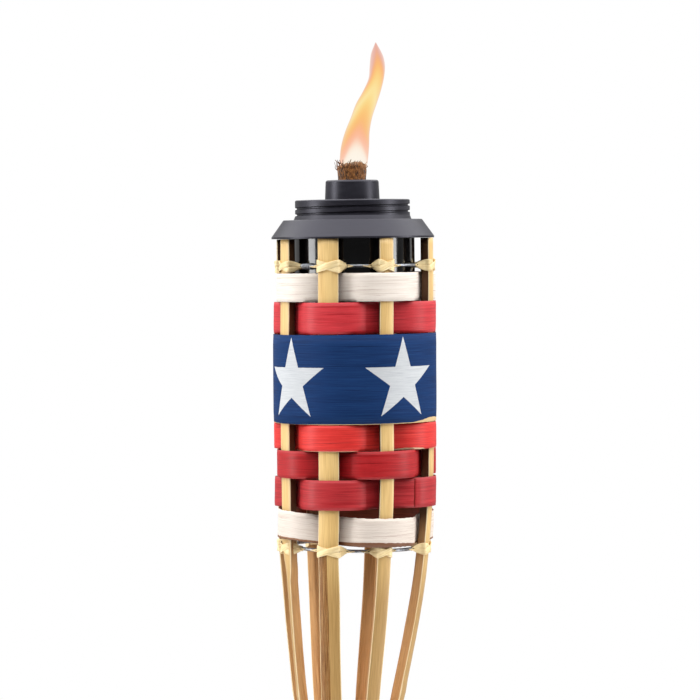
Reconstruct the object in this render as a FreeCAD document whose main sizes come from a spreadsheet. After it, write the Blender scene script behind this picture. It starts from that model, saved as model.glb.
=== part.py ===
"""Bamboo garden torch: a split culm that carries a woven basket and a lift-out fuel canister.

The pole is a bamboo culm, cut to a quill point that goes into the ground. Its top is split into eight
slats, which two wire hoops hold apart and seven splint rings weave together. The canister hangs in the
basket from its conical skirt. Its wick lid pushes into the canister's neck and carries a rope wick.

Frame: millimetres, +Z up, origin on the pole's axis at the tip of the ground point, front towards -Y.
"""

import FreeCAD, Part

import math
import os
import re

import Sketcher
from FreeCAD import Placement, Rotation, Vector

# Driving dimensions. A "drop" is a distance below the skirt's rim and a "rise" is one above it.
DIMENSIONS = {
    "rim_height": 1404.0,
    # pole
    "culm_radius": 15.0,
    "culm_wall": 5.5,
    "tip_radius": 13.0,
    "point_length": 42.0,
    "root_drop": 430.0,
    "node_ridge": 1.1,
    "node_half_length": 3.0,
    "diaphragm": 3.0,
    "lowest_node": 262.0,
    "second_node": 476.0,
    "third_node": 674.0,
    "fourth_node": 846.0,
    "top_node": 960.0,
    # slats
    "slat_top_rise": -0.2,
    "slat_top_radius": 46.3,
    "belly_radius": 46.5,
    "belly_drop": 110.0,
    "waist_radius": 44.6,
    "taper_slope": 0.085,
    "cage_bow": 5.5,
    "kerf_angle": 2.1,
    # woven splints
    "splint": 1.0,
    "weave_gap": 0.25,
    "under_gap": 0.6,
    "corner_sag": 0.75,
    "band": 1.2,
    "band_gap": 0.3,
    # hoops, lashings and the wire at the end of the split
    "hoop_wire": 1.0,
    "hoop_gap": 0.15,
    "top_hoop_drop": 15.9,
    "bottom_hoop_drop": 179.2,
    "cane": 0.6,
    "lashing_height": 6.6,
    "stop_wire": 0.8,
    "stop_height": 8.0,
    "stop_top_drop": 432.0,
    # fuel can
    "can_radius": 35.9,
    "can_wall": 0.6,
    "can_drop": 88.0,
    "can_rim_rise": 7.2,
    "can_foot": 3.0,
    # neck collar
    "rim_radius": 47.3,
    "rim_edge": 1.0,
    "skirt_wall": 1.2,
    "shoulder_radius": 40.3,
    "shoulder_rise": 10.8,
    "shoulder_wall": 1.8,
    "socket_bore": 35.95,
    "socket_wall": 2.1,
    "neck_base_radius": 34.3,
    "neck_base_rise": 13.2,
    "neck_radius": 33.4,
    "neck_bore": 29.5,
    "neck_rise": 22.3,
    "ledge_rise": 18.0,
    "ledge_bore": 27.2,
    "groove_pitch": 3.6,
    "groove_turns": 2.0,
    "groove_start_rise": 12.8,
    "groove_depth": 1.1,
    "groove_half_width": 0.8,
    # wick lid
    "lid_radius": 29.2,
    "lid_disc": 2.8,
    "plug_radius": 26.8,
    "plug_wall": 1.6,
    "plug_depth": 7.5,
    "hub_radius": 15.4,
    "hub_base_radius": 15.9,
    "hub_height": 11.5,
    "hub_wall": 1.7,
    "boss_depth": 5.0,
    "boss_wall": 1.6,
    # wick and sleeve
    "wick_radius": 8.0,
    "wick_length": 118.0,
    "wick_rise": 44.0,
    "sleeve_gap": 0.3,
    "sleeve_wall": 0.45,
    "sleeve_length": 30.0,
    # seals
    "lid_seal_thickness": 1.4,
    "lid_seal_bore": 27.3,
    "can_seal_thickness": 1.7,
    "can_seal_bore": 34.4,
}

# Each slat's bearing in the basket, in degrees from the front towards +X, and half of the share of the
# culm's circumference that it was split from.
SLATS = [(-63.5, 22), (-20, 25), (23.3, 16.5), (76, 22), (103, 22), (165, 20), (212.5, 23), (258, 21)]
TWISTED_SLAT, TWIST = "slat_1", -24

# Woven rings from the top down: name, drop of the top edge, width, and the first slat that it passes over.
SPLINTS = [
    ("strip_1_white", 19.9, 16.3, 0),
    ("strip_2_red", 36.6, 18.2, 1),
    ("strip_4_red", 106.6, 15.0, 1),
    ("strip_5_red", 121.7, 15.9, 0),
    ("strip_6_red", 138.0, 17.2, 1),
    ("strip_7_white", 158.4, 16.4, 0),
]
BAND = ("strip_3_blue_band", 55.1, 51.1)

POINTS_PER_SLAT = 8
WAVE_HUG, WAVE_FULLNESS = 0.05, 1.7
BASKET_STATIONS = 13
TAPER_STATIONS = 16

doc = FreeCAD.newDocument("bamboo_torch")
sheet = doc.addObject("Spreadsheet::Sheet", "Dimensions")


def fill_sheet():
    entries = dict(DIMENSIONS)
    for name, drop, width, _ in SPLINTS:
        entries[f"{name}_drop"] = drop
        entries[f"{name}_width"] = width
    entries[f"{BAND[0]}_drop"] = BAND[1]
    entries[f"{BAND[0]}_width"] = BAND[2]
    for row, (alias, value) in enumerate(entries.items(), 1):
        sheet.set(f"A{row}", alias)
        sheet.set(f"B{row}", str(value))
        sheet.setAlias(f"B{row}", alias)
    doc.recompute()


def bound(text):
    """The expression with each bare alias pointed at the sheet."""
    return re.sub(r"[a-z]\w*", r"Dimensions.\g<0>", text)


def size(text):
    """The value of an expression of aliases."""
    return float(sheet.evalExpression(bound(text)))


# ---- helpers for PartDesign bodies --------------------------------------------------------------


def new_body(label, rise="0"):
    """A body whose own zero lies at rim_height plus rise."""
    body = doc.addObject("PartDesign::Body", label)
    body.Label = label
    body.setExpression("Placement.Base.z", bound(f"rim_height + {rise}"))
    return body


def new_sketch(body, name, role):
    sketch = body.newObject("Sketcher::SketchObject", name)
    plane = next(f for f in body.Origin.OriginFeatures if f.Role == role)
    sketch.AttachmentSupport = [(plane, "")]
    sketch.MapMode = "FlatFace"
    return sketch


def pin_point(sketch, line, kind, text):
    """Ties the start of a line to a sheet expression, or to the axis where the expression is zero."""
    value = size(text)
    if abs(value) < 1e-9:
        axis = -2 if kind == "DistanceX" else -1
        sketch.addConstraint(Sketcher.Constraint("PointOnObject", line, 1, axis))
        return
    index = sketch.addConstraint(Sketcher.Constraint(kind, -1, 1, line, 1, value))
    sketch.setExpression(f"Constraints[{index}]", bound(text))


def outline(sketch, corners):
    """A closed outline whose corners lie at the given (across, up) expressions."""
    points = [Vector(size(across), size(up), 0) for across, up in corners]
    first = sketch.GeometryCount
    count = len(corners)
    for i, point in enumerate(points):
        sketch.addGeometry(Part.LineSegment(point, points[(i + 1) % count]), False)
    for i in range(count):
        after = first + (i + 1) % count
        sketch.addConstraint(Sketcher.Constraint("Coincident", first + i, 2, after, 1))
    for i, (across, up) in enumerate(corners):
        pin_point(sketch, first + i, "DistanceX", across)
        pin_point(sketch, first + i, "DistanceY", up)


def turned(body, corners, feature="PartDesign::Revolution", name="Turned"):
    """Turns an outline, given as (radius, height) expressions, about the body's Z axis."""
    sketch = new_sketch(body, f"{name}Profile", "XZ_Plane")
    outline(sketch, corners)
    solid = body.newObject(feature, name)
    solid.Profile = sketch
    solid.ReferenceAxis = (sketch, ["V_Axis"])
    solid.Angle = 360
    doc.recompute()
    return solid


def rounded(body, base, name, radius, rings):
    """Rounds the circular edges at the given (radius, height) expressions."""
    places = [(size(across), size(up)) for across, up in rings]
    found = []
    for number, edge in enumerate(base.Shape.Edges, 1):
        curve = edge.Curve
        if not isinstance(curve, Part.Circle):
            continue
        if any(abs(curve.Radius - r) < 0.02 and abs(curve.Center.z - z) < 0.02 for r, z in places):
            found.append(f"Edge{number}")
    fillet = body.newObject("PartDesign::Fillet", name)
    fillet.Base = (base, found)
    fillet.Radius = radius
    doc.recompute()
    return fillet


# ---- the shape of the split culm ----------------------------------------------------------------


def outer_radius(drop):
    """Distance from the torch's axis to a slat's outer crown, at a drop below the rim."""
    belly, belly_drop = size("belly_radius"), size("belly_drop")
    waist_drop = size("bottom_hoop_drop")
    if drop <= belly_drop:
        reach = (belly_drop - drop) / (belly_drop + size("slat_top_rise"))
        return belly - (belly - size("slat_top_radius")) * reach**2
    if drop <= waist_drop:
        reach = (drop - belly_drop) / (waist_drop - belly_drop)
        return belly - (belly - size("waist_radius")) * reach**2
    length = size("root_drop") - waist_drop
    u = (drop - waist_drop) / length
    rest = 2 * u**3 - 3 * u**2 + 1
    slope = (u**3 - 2 * u**2 + u) * -size("taper_slope") * length
    return rest * size("waist_radius") + slope + (1 - rest) * size("culm_radius")


def bow(drop):
    """How far the cage of slats below the basket strays towards -X between the waist and the culm."""
    waist_drop = size("bottom_hoop_drop")
    share = max(0.0, (drop - waist_drop) / (size("root_drop") - waist_drop))
    return size("cage_bow") * math.sin(math.pi * share) ** 2


def root_bearings():
    """Bearings of the slats where they leave the culm, side by side with a kerf between them."""
    bearings = [SLATS[0][0]]
    for (_, half), (_, next_half) in zip(SLATS, SLATS[1:]):
        bearings.append(bearings[-1] + half + next_half + size("kerf_angle"))
    return bearings


def slat_section(bearing, half_angle, drop, twist=0.0):
    """A sector of the culm's wall, moved outwards so that its crown lies at outer_radius(drop).

    twist turns it about its own middle.
    """
    outer = size("culm_radius")
    inner = outer - size("culm_wall")
    middle = (outer + inner) / 2
    height = size("rim_height") - drop
    offset = outer_radius(drop) - outer + middle
    stray = bow(drop)

    def point(radius, angle):
        a, b, t = math.radians(bearing), math.radians(angle), math.radians(twist)
        wide, deep = radius * math.sin(b), radius * math.cos(b) - middle
        across = wide * math.cos(t) + deep * math.sin(t)
        out = offset + deep * math.cos(t) - wide * math.sin(t)
        x = out * math.sin(a) + across * math.cos(a) - stray
        y = -out * math.cos(a) + across * math.sin(a)
        return Vector(x, y, height)

    skin = Part.Arc(point(outer, -half_angle), point(outer, 0), point(outer, half_angle)).toShape()
    side = Part.makeLine(point(outer, half_angle), point(inner, half_angle))
    bore = Part.Arc(point(inner, half_angle), point(inner, 0), point(inner, -half_angle)).toShape()
    back = Part.makeLine(point(inner, -half_angle), point(outer, -half_angle))
    return Part.Wire([skin, side, bore, back])


def make_slats():
    """Eight lofted slats: upright in the basket, then bending in and turning to meet the culm."""
    top, waist, root = -size("slat_top_rise"), size("bottom_hoop_drop"), size("root_drop")
    drops = [top + (waist - top) * i / (BASKET_STATIONS - 1) for i in range(BASKET_STATIONS)]
    drops += [waist + (root - waist) * i / TAPER_STATIONS for i in range(1, TAPER_STATIONS + 1)]
    for number, ((bearing, half), root_bearing) in enumerate(zip(SLATS, root_bearings()), 1):
        sections = []
        for drop in drops:
            u = max(0.0, (drop - waist) / (root - waist))
            turn = (root_bearing - bearing) * (3 * u**2 - 2 * u**3)
            twist = TWIST * math.sin(math.pi * u**0.5) if f"slat_{number}" == TWISTED_SLAT else 0.0
            sections.append(slat_section(bearing + turn, half, drop, twist))
        slat = doc.addObject("Part::Feature", f"slat_{number}")
        slat.Shape = Part.makeLoft(sections, True, False)
        slat.Label = f"slat_{number}"


# ---- pole ---------------------------------------------------------------------------------------


def make_pole():
    """Hollow culm with node ridges and inner diaphragms, cut to a quill point at the ground end."""
    pole = doc.addObject("PartDesign::Body", "pole")
    pole.Label = "pole"
    nodes = ["lowest_node", "second_node", "third_node", "fourth_node", "top_node"]
    root = "rim_height - root_drop"
    radii = [f"tip_radius + (culm_radius - tip_radius) * {i / 4}" for i in range(5)]
    skin = [("0", "0"), ("tip_radius", "0")]
    for node, radius in zip(nodes, radii):
        skin.append((radius, f"{node} - node_half_length"))
        skin.append((f"{radius} + node_ridge", f"{node} - node_half_length / 4"))
        skin.append((f"{radius} + node_ridge", f"{node} + node_half_length / 4"))
        skin.append((radius, f"{node} + node_half_length"))
    skin += [("culm_radius", root), ("0", root)]
    turned(pole, skin)

    bore = new_sketch(pole, "Internodes", "XZ_Plane")
    floors = ["0"] + [f"{node} + diaphragm / 2" for node in nodes]
    ceilings = [f"{node} - diaphragm / 2" for node in nodes] + [root]
    for radius, floor, ceiling in zip([radii[0]] + radii, floors, ceilings):
        wall = f"{radius} - culm_wall"
        outline(bore, [("0", floor), (wall, floor), (wall, ceiling), ("0", ceiling)])
    cavities = pole.newObject("PartDesign::Groove", "Cavities")
    cavities.Profile = bore
    cavities.ReferenceAxis = (bore, ["V_Axis"])
    cavities.Angle = 360
    doc.recompute()

    cut = new_sketch(pole, "PointCut", "YZ_Plane")
    line_back = Vector(-size("tip_radius"), size("point_length"), 0)
    margin = 2 * size("tip_radius")
    corners = [
        Vector(size("tip_radius"), 0, 0),
        line_back,
        line_back - Vector(margin, -margin, 0),
        Vector(-margin * 2, -margin, 0),
        Vector(size("tip_radius"), -margin, 0),
    ]
    for i, corner in enumerate(corners):
        cut.addGeometry(Part.LineSegment(corner, corners[(i + 1) % len(corners)]), False)
    point = pole.newObject("PartDesign::Pocket", "Point")
    point.Profile = cut
    point.Type = "ThroughAll"
    point.Midplane = True
    before = cavities.Shape.Volume
    doc.recompute()
    if not point.Shape.Volume < before:
        raise RuntimeError("the quill point cut nothing")


def make_stop_wire():
    """Wire wound tightly round the culm just under the split, which keeps the split from running.

    Its touching turns are one ring, with the wire's thickness for its wall.
    """
    body = new_body("split_stop_wire", "-stop_top_drop - stop_height")
    inner = "culm_radius + weave_gap"
    outer = f"{inner} + 2 * stop_wire"
    soft = "stop_wire / 2"
    turned(
        body,
        [
            (inner, "0"),
            (f"{outer} - {soft}", "0"),
            (outer, soft),
            (outer, f"stop_height - {soft}"),
            (f"{outer} - {soft}", "stop_height"),
            (inner, "stop_height"),
        ],
    )


# ---- basket -------------------------------------------------------------------------------------


def weave_curve(over, under, first_over):
    """Closed wave through the slats: at radius over on every second slat and under on the others.

    A stiff splint bows out between the slats, more fully than a plain wave would.
    """
    points = []
    for i, (bearing, _) in enumerate(SLATS):
        next_bearing = SLATS[(i + 1) % len(SLATS)][0] + (360 if i + 1 == len(SLATS) else 0)
        for k in range(POINTS_PER_SLAT):
            share = k / POINTS_PER_SLAT
            angle = math.radians(bearing + (next_bearing - bearing) * share)
            wave = (1 + math.cos(math.pi * (i + share - first_over))) / 2
            rise = max(0.0, (wave - WAVE_HUG) / (1 - WAVE_HUG))
            radius = under + (over - under) * (1 - (1 - rise) ** WAVE_FULLNESS)
            points.append(Vector(radius * math.sin(angle), -radius * math.cos(angle), 0))
    curve = Part.BSplineCurve()
    curve.interpolate(points, PeriodicFlag=True)
    return curve


def make_splints():
    """Six woven rings of dyed splint, each over one slat and under the next."""
    for name, drop, width, first_over in SPLINTS:
        radii = [outer_radius(drop), outer_radius(drop + width)]
        over = max(radii) + size("weave_gap")
        under = min(radii) - size("culm_wall + corner_sag + under_gap + splint")
        body = new_body(name, f"(-{name}_drop) - {name}_width")
        sketch = new_sketch(body, "Wave", "XY_Plane")
        sketch.addGeometry(weave_curve(over, under, first_over), False)
        thickness = size("splint")
        sketch.addGeometry(weave_curve(over + thickness, under + thickness, first_over), False)
        pad = body.newObject("PartDesign::Pad", "Width")
        pad.Profile = sketch
        pad.setExpression("Length", bound(f"{name}_width"))


def make_band():
    """Wide printed band, wrapped round the outside of all the slats."""
    name = BAND[0]
    body = new_body(name, f"(-{name}_drop) - {name}_width")
    sketch = new_sketch(body, "Ring", "XY_Plane")
    for text in ("belly_radius + band_gap", "belly_radius + band_gap + band"):
        circle = sketch.addGeometry(Part.Circle(Vector(), Vector(0, 0, 1), size(text)), False)
        sketch.addConstraint(Sketcher.Constraint("Coincident", circle, 3, -1, 1))
        index = sketch.addConstraint(Sketcher.Constraint("Radius", circle, size(text)))
        sketch.setExpression(f"Constraints[{index}]", bound(text))
    pad = body.newObject("PartDesign::Pad", "Width")
    pad.Profile = sketch
    pad.setExpression("Length", bound(f"{name}_width"))


def hoop_radius(drop):
    """Centre line of a wire hoop that lies just inside the slats."""
    return outer_radius(drop) - size("culm_wall + corner_sag + hoop_gap + hoop_wire")


def make_hoops():
    for label, drop_name in (("top_hoop", "top_hoop_drop"), ("bottom_hoop", "bottom_hoop_drop")):
        hoop = doc.addObject("Part::Torus", label)
        hoop.Label = label
        hoop.Radius1 = hoop_radius(size(drop_name))
        hoop.setExpression("Radius2", bound("hoop_wire"))
        hoop.setExpression("Placement.Base.z", bound(f"rim_height - {drop_name}"))


def lashing_block(half_angle, drop):
    """Cane bound once round a slat and its hoop: a square loop, built facing +X at the torch's axis."""
    cane, gap, height = size("cane"), size("weave_gap"), size("lashing_height")
    inner = hoop_radius(drop) - size("hoop_wire + hoop_gap")
    outer = outer_radius(drop - height / 2) + gap
    half = size("culm_radius") * math.sin(math.radians(half_angle)) + gap
    hole = Part.makeBox(outer - inner, 2 * half, height, Vector(inner, -half, -height / 2))
    loop = Part.makeBox(
        outer - inner + 2 * cane,
        2 * (half + cane),
        height,
        Vector(inner - cane, -half - cane, -height / 2),
    )
    hoop_way = Part.makeTorus(hoop_radius(drop), size("hoop_wire + hoop_gap / 2"))
    return loop.cut(hole).cut(hoop_way)


def make_lashings():
    for label, drop_name in (("top_lashings", "top_hoop_drop"), ("bottom_lashings", "bottom_hoop_drop")):
        drop = size(drop_name)
        loops = []
        for bearing, half_angle in SLATS:
            loop = lashing_block(half_angle, drop)
            loop.Placement = Placement(
                Vector(0, 0, size("rim_height") - drop), Rotation(Vector(0, 0, 1), bearing - 90)
            )
            loops.append(loop)
        lashings = doc.addObject("Part::Feature", label)
        lashings.Shape = Part.makeCompound(loops)
        lashings.Label = label


# ---- canister -----------------------------------------------------------------------------------


def make_can():
    """Drawn can with a recessed bottom, open at the top, where the collar's socket takes its rim."""
    can = new_body("fuel_can", "(-can_drop)")
    top = "can_drop + can_rim_rise"
    inside = "can_radius - can_wall"
    turned(
        can,
        [
            ("0", "can_foot"),
            ("can_radius - 5", "can_foot"),
            ("can_radius - 4", "0"),
            ("can_radius - 1", "0"),
            ("can_radius", "1"),
            ("can_radius", top),
            (inside, top),
            (inside, "1 + can_wall / 2"),
            ("can_radius - 1.3", "can_wall"),
            ("can_radius - 3.6", "can_wall"),
            ("can_radius - 4.6", "can_foot + can_wall"),
            ("0", "can_foot + can_wall"),
        ],
    )


def make_collar():
    """Skirt, can socket and threaded neck in one moulding."""
    collar = new_body("neck_collar")
    collar.Placement.Rotation = Rotation(Vector(0, 0, 1), 90)
    socket_out = "socket_bore + socket_wall"
    under = "shoulder_rise - shoulder_wall"
    shell = turned(
        collar,
        [
            ("rim_radius - skirt_wall", "0"),
            ("rim_radius", "0"),
            ("rim_radius", "rim_edge"),
            ("shoulder_radius", "shoulder_rise"),
            ("neck_base_radius", "shoulder_rise"),
            ("neck_radius", "neck_base_rise"),
            ("neck_radius", "neck_rise"),
            ("neck_bore", "neck_rise"),
            ("neck_bore", "ledge_rise"),
            ("ledge_bore", "ledge_rise"),
            ("ledge_bore", "ledge_rise - 3"),
            ("neck_bore + 1.2", "ledge_rise - 5"),
            ("neck_bore + 1.2", under),
            ("socket_bore", under),
            ("socket_bore", "0.2"),
            (socket_out, "0.2"),
            (socket_out, under),
            ("shoulder_radius - 0.9", under),
        ],
    )
    edges = rounded(
        collar,
        shell,
        "Edges",
        0.8,
        [("neck_radius", "neck_rise"), ("shoulder_radius", "shoulder_rise")],
    )
    doc.recompute()

    groove = new_sketch(collar, "GrooveSection", "XZ_Plane")
    mouth, floor = "neck_radius + 0.3", "neck_radius - groove_depth"
    outline(
        groove,
        [
            (mouth, "groove_start_rise - groove_half_width"),
            (mouth, "groove_start_rise + groove_half_width"),
            (floor, "groove_start_rise + groove_half_width / 3"),
            (floor, "groove_start_rise - groove_half_width / 3"),
        ],
    )
    thread = collar.newObject("PartDesign::SubtractiveHelix", "Thread")
    thread.Profile = groove
    thread.ReferenceAxis = (groove, ["V_Axis"])
    thread.Mode = "pitch-turns-angle"
    thread.setExpression("Pitch", bound("groove_pitch"))
    thread.setExpression("Turns", bound("groove_turns"))
    doc.recompute()
    if not thread.Shape.Volume < edges.Shape.Volume:
        raise RuntimeError("the thread groove cut nothing")


def make_lid():
    """Push-in lid: plug wall, disc that closes the neck, and the hub that holds the wick sleeve."""
    lid = new_body("wick_lid", "neck_rise - lid_disc - plug_depth")
    disc, top = "plug_depth", "plug_depth + lid_disc"
    hole = "wick_radius + sleeve_gap + sleeve_wall"
    crown = "plug_depth + lid_disc + hub_height"
    shell = turned(
        lid,
        [
            (hole, "plug_depth - boss_depth"),
            (f"{hole} + boss_wall", "plug_depth - boss_depth"),
            (f"{hole} + boss_wall", f"{crown} - hub_wall"),
            ("hub_radius - hub_wall", f"{crown} - hub_wall"),
            ("hub_base_radius - hub_wall", disc),
            ("plug_radius - plug_wall", disc),
            ("plug_radius - plug_wall", "0"),
            ("plug_radius", "0"),
            ("plug_radius", disc),
            ("lid_radius", disc),
            ("lid_radius", top),
            ("hub_base_radius", top),
            ("hub_radius", crown),
            (hole, crown),
        ],
    )
    rounded(lid, shell, "HubEdge", 1.4, [("hub_radius", crown)])


def make_small_turned_parts():
    sleeve = new_body("wick_sleeve", "neck_rise + hub_height - sleeve_length")
    bore = "wick_radius + sleeve_gap"
    skin = f"{bore} + sleeve_wall"
    turned(sleeve, [(bore, "0"), (skin, "0"), (skin, "sleeve_length"), (bore, "sleeve_length")])

    wick = new_body("wick", "wick_rise - wick_length")
    turned(wick, [("0", "0"), ("wick_radius", "0"), ("wick_radius", "wick_length"), ("0", "wick_length")])

    seal = new_body("lid_seal", "ledge_rise + 0.05")
    thick = "lid_seal_thickness"
    turned(seal, [("lid_seal_bore", "0"), ("lid_radius", "0"), ("lid_radius", thick), ("lid_seal_bore", thick)])

    gasket = new_body("can_seal", "can_rim_rise + 0.05")
    ring, deep = "can_radius", "can_seal_thickness"
    turned(gasket, [("can_seal_bore", "0"), (ring, "0"), (ring, deep), ("can_seal_bore", deep)])


# ---- build, check and write ---------------------------------------------------------------------


def check_document():
    doc.recompute()
    for item in doc.Objects:
        if "Invalid" in item.State or "Error" in item.State:
            raise RuntimeError(f"{item.Name} failed: {item.State}")


def sub_parts():
    bodies = [o for o in doc.Objects if o.TypeId == "PartDesign::Body"]
    loose = [o for o in doc.Objects if o.TypeId in ("Part::Feature", "Part::Torus")]
    return bodies + loose


def write_parts():
    os.makedirs("parts", exist_ok=True)
    for item in sub_parts():
        shape = item.Shape
        if shape.isNull() or not shape.isValid() or not shape.Solids:
            raise RuntimeError(f"{item.Label} has no valid solid")
        shape.exportStep(os.path.join("parts", f"{item.Label}.step"))
        print(f"{item.Label}: {len(shape.Solids)} solid(s), {shape.Volume / 1000:.2f} cm3")


fill_sheet()
make_pole()
make_stop_wire()
make_slats()
make_splints()
make_band()
make_hoops()
make_lashings()
make_can()
make_collar()
make_lid()
make_small_turned_parts()
check_document()
write_parts()
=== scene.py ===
"""Looks for the bamboo garden torch.

Metres, +Z up, the front towards -Y. A bearing is an angle in degrees round the torch's axis, from the
front towards +X. A drop is a distance below the rim of the canister's skirt.
"""

import math
import random

import bmesh
import bpy
import numpy as np
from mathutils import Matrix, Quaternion, Vector, noise
from mathutils.bvhtree import BVHTree


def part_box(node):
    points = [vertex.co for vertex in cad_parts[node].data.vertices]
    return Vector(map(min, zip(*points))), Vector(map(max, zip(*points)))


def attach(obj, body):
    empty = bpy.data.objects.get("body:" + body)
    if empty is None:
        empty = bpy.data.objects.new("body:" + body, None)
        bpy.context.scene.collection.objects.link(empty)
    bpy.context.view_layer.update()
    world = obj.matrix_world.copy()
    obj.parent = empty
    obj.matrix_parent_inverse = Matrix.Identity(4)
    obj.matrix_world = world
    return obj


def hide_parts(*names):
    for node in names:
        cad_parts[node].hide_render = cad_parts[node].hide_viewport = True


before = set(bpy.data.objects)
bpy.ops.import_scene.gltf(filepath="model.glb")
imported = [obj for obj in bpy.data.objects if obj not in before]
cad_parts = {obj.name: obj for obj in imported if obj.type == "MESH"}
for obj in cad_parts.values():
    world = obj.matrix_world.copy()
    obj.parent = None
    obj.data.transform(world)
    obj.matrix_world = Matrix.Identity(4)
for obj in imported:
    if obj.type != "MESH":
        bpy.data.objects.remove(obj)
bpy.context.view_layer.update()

MM = 0.001
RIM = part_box("neck_collar")[0].z
SLATS = [f"slat_{n}" for n in range(1, 9)]


# ---- geometry helpers ---------------------------------------------------------------------------


def polar(bearing, radius, height):
    """The point at a bearing, a distance from the torch's axis and a height."""
    angle = math.radians(bearing)
    return Vector((radius * math.sin(angle), -radius * math.cos(angle), height))


def wobble(x, y=0.0, seed=0):
    """Smooth noise, about -1 to 1."""
    return noise.noise(Vector((x, y, 7.31 * seed + 0.5)))


def smoothstep(x, low=0.0, high=1.0):
    t = min(1.0, max(0.0, (x - low) / (high - low)))
    return t * t * (3 - 2 * t)


def surface_tree(node):
    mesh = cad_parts[node].data
    return BVHTree.FromPolygons([v.co for v in mesh.vertices], [p.vertices for p in mesh.polygons])


def skin_radius(tree, bearing, height):
    """How far from the axis a node's outer surface lies, at a bearing and a height."""
    start = polar(bearing, 1.0, height)
    inwards = Vector((-start.x, -start.y, 0)).normalized()
    hit = tree.ray_cast(start, inwards)[0]
    return None if hit is None else hit.xy.length


def loft(name, loops, ring=False, zones=None, bands=None):
    """A closed mesh skinned over loops of points, one after another.

    ring joins the last loop to the first; otherwise both ends get a cap. The material index comes from
    zones, one for each side of a loop, or from bands, one for each step from loop to loop. The UV map is
    in metres: across the loop, then along the loops.
    """
    count, sides = len(loops), len(loops[0])
    verts = [point for loop in loops for point in loop]
    spans = count if ring else count - 1
    faces = []
    for i in range(spans):
        low, high = i * sides, (i + 1) % count * sides
        for j in range(sides):
            k = (j + 1) % sides
            faces.append((low + j, low + k, high + k, high + j))
    if not ring:
        faces.append(tuple(reversed(range(sides))))
        faces.append(tuple(range((count - 1) * sides, count * sides)))
    mesh = bpy.data.meshes.new(name)
    mesh.from_pydata(verts, [], faces)

    middle = loops[count // 2]
    across = np.cumsum([0.0] + [(middle[(j + 1) % sides] - middle[j]).length for j in range(sides)])
    grid = np.array([[tuple(point) for point in loop] for loop in loops])
    steps = np.linalg.norm(np.roll(grid, -1, axis=0) - grid, axis=2).mean(axis=1)
    along = np.concatenate([[0.0], np.cumsum(steps)])
    layer = mesh.uv_layers.new(name="metres")
    corner = 0
    for i in range(spans):
        for j in range(sides):
            for dj, di in ((0, 0), (1, 0), (1, 1), (0, 1)):
                layer.data[corner].uv = (across[j + dj], along[i + di])
                corner += 1
    for polygon in mesh.polygons:
        polygon.use_smooth = polygon.index < spans * sides
        if zones and polygon.use_smooth:
            polygon.material_index = zones[polygon.index % sides]
        elif bands:
            polygon.material_index = bands[min(polygon.index // sides, spans - 1)]
    mesh.update()
    return bpy.data.objects.new(name, mesh)


# How far the hand-made cage strays towards +X, as (drop, millimetres) pairs, and how much its lower hoop
# sinks towards +X.
CAGE_STRAY = [
    (0, 1.1), (30, 0.9), (60, 0.4), (100, 0.1), (135, -0.1), (150, -0.4), (165, -0.9), (180, -1.5),
    (215, -1.6), (265, -1.3), (330, -0.7), (430, 0), (460, 0),
]
HOOP_TILT = 0.018


def settle(piece, tilt=0.0):
    """Moves a piece of the cage with the cage's stray, and tilts it."""
    curve = smooth_path([Vector((drop, stray, 0)) for drop, stray in CAGE_STRAY])
    drops, strays = [p.x for p in curve], [p.y for p in curve]
    for vertex in piece.data.vertices:
        vertex.co.z -= tilt * vertex.co.x
        drop = (RIM - vertex.co.z) / MM
        vertex.co.x += float(np.interp(drop, drops, strays, left=strays[0], right=0.0)) * MM


def show(thing):
    """Puts an object in the scene."""
    bpy.context.scene.collection.objects.link(thing)
    return thing


def add_piece(piece, body, materials, replaces=()):
    """Puts a piece in the scene on its body."""
    show(piece)
    for material in materials:
        piece.data.materials.append(material)
    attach(piece, body)
    if replaces:
        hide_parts(*replaces)
    return piece


def join(name, pieces):
    """One object that holds the meshes of several."""
    whole = bmesh.new()
    for piece in pieces:
        whole.from_mesh(piece.data)
    mesh = bpy.data.meshes.new(name)
    whole.to_mesh(mesh)
    whole.free()
    for piece in pieces:
        old = piece.data
        bpy.data.objects.remove(piece)
        bpy.data.meshes.remove(old)
    return bpy.data.objects.new(name, mesh)


def smooth_path(points, per_span=8):
    """A Catmull-Rom curve through the points."""
    padded = [2 * points[0] - points[1], *points, 2 * points[-1] - points[-2]]
    path = []
    for a, b, c, d in zip(padded, padded[1:], padded[2:], padded[3:]):
        for step in range(per_span):
            t = step / per_span
            bend = (2 * a - 5 * b + 4 * c - d) * t**2 + (3 * b - a - 3 * c + d) * t**3
            path.append(0.5 * (2 * b + (c - a) * t + bend))
    return path + [points[-1]]


def tangents(path):
    ahead = path[1:] + path[-1:]
    behind = path[:1] + path[:-1]
    return [(a - b).normalized() for a, b in zip(ahead, behind)]


def tube(name, path, radius, sides=8):
    """A round tube along a path. radius is a number or a function of the share of the way along."""
    thickness = radius if callable(radius) else lambda share: radius
    loops = []
    normal = Vector((0, 0, 1))
    for i, (point, tangent) in enumerate(zip(path, tangents(path))):
        normal = (normal - normal.dot(tangent) * tangent).normalized()
        if normal.length < 0.5:
            normal = tangent.orthogonal().normalized()
        side = tangent.cross(normal)
        size = thickness(i / (len(path) - 1))
        turns = [2 * math.pi * k / sides for k in range(sides)]
        loops.append([point + size * (math.cos(a) * normal + math.sin(a) * side) for a in turns])
    return loft(name, loops)


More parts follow.
